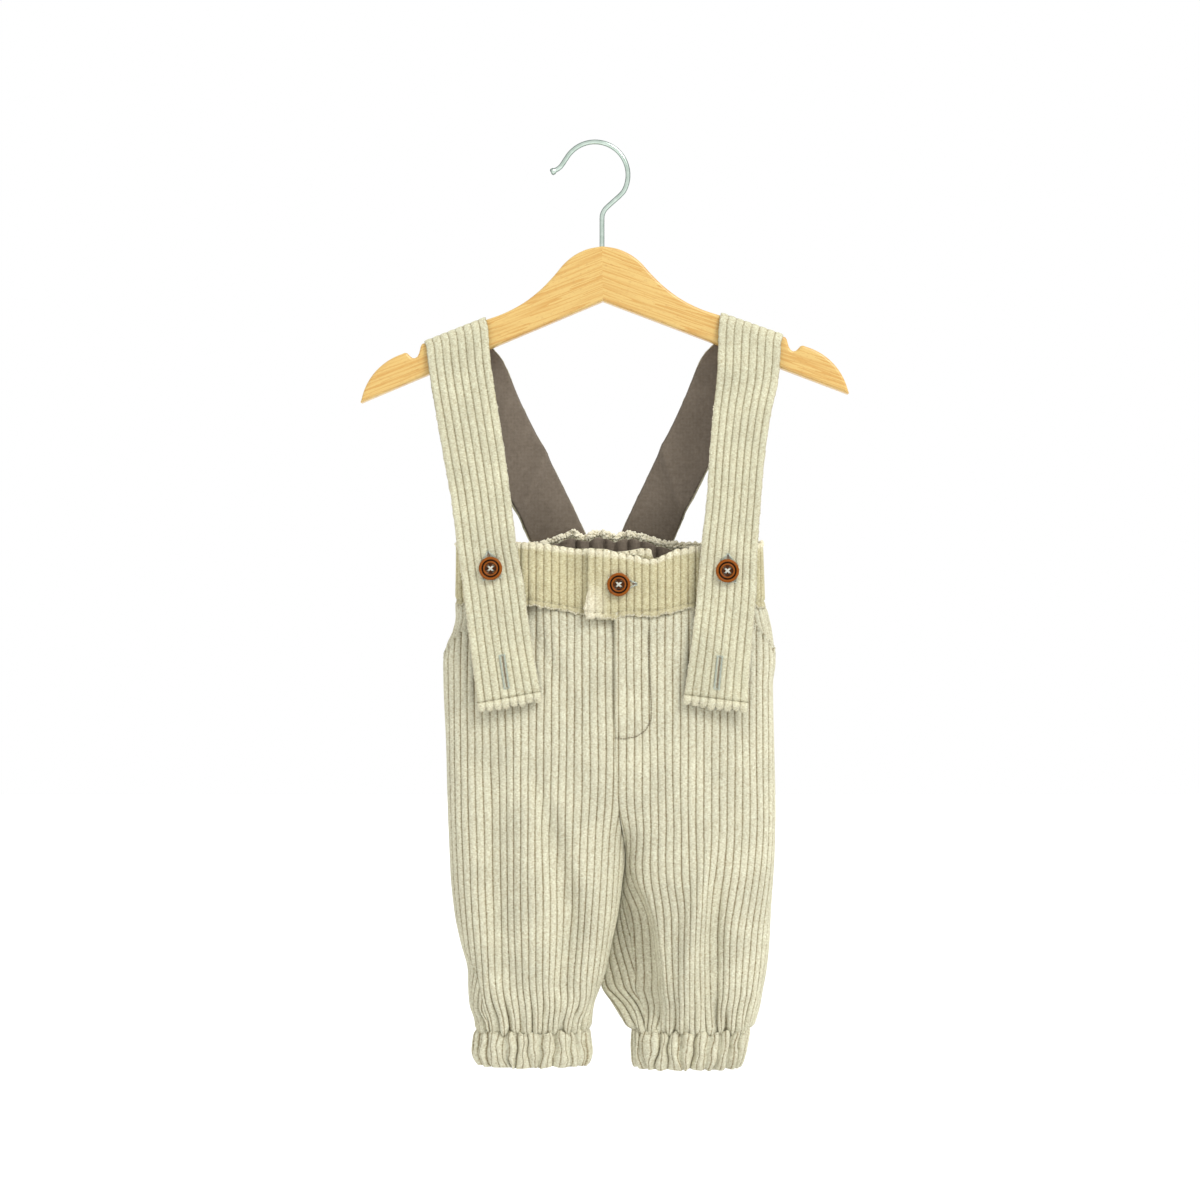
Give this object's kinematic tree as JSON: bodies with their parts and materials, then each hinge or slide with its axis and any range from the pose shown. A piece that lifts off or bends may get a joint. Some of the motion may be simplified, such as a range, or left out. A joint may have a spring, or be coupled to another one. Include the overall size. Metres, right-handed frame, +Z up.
{
  "type": "corduroy trousers with shoulder straps on a wooden clothes hanger",
  "caption": "Jumbo corduroy baby trousers with button-on shoulder straps and gathered cuffs, hanging on a wooden clothes hanger with a wire hook.",
  "frame": {"origin": "the inside of the hook's wire, straight above the middle of the hanger, where a peg or rail carries it", "axes": "+Z up, -Y the front of the trousers, +X to the right as seen from the front"},
  "size_m": [0.3161, 0.0623, 0.6019],
  "materials": {
    "corduroy": "jumbo-wale cotton corduroy with a soft nap",
    "cotton_lining": "plain-weave cotton",
    "beech": "clear satin varnish",
    "button_wood": "dark stained and waxed",
    "zinc_wire": "bright zinc-plated wire"
  },
  "bodies": {
    "root": {"front_left": "corduroy", "front_right": "corduroy", "back_left": "corduroy", "back_right": "corduroy", "pocket_left": "corduroy", "pocket_right": "corduroy", "waistband_left": "corduroy", "waistband_right": "corduroy", "waistband_back": "corduroy", "waistband_lining": "cotton_lining", "cuff_left": "corduroy", "cuff_right": "corduroy", "strap_left": "corduroy", "strap_right": "corduroy", "strap_lining_left": "cotton_lining", "strap_lining_right": "cotton_lining", "hanger_left": "beech", "hanger_right": "beech", "hanger_hook": "zinc_wire", "button_left": "button_wood", "button_right": "button_wood", "button_waist": "button_wood"}
  },
  "joints": []
}
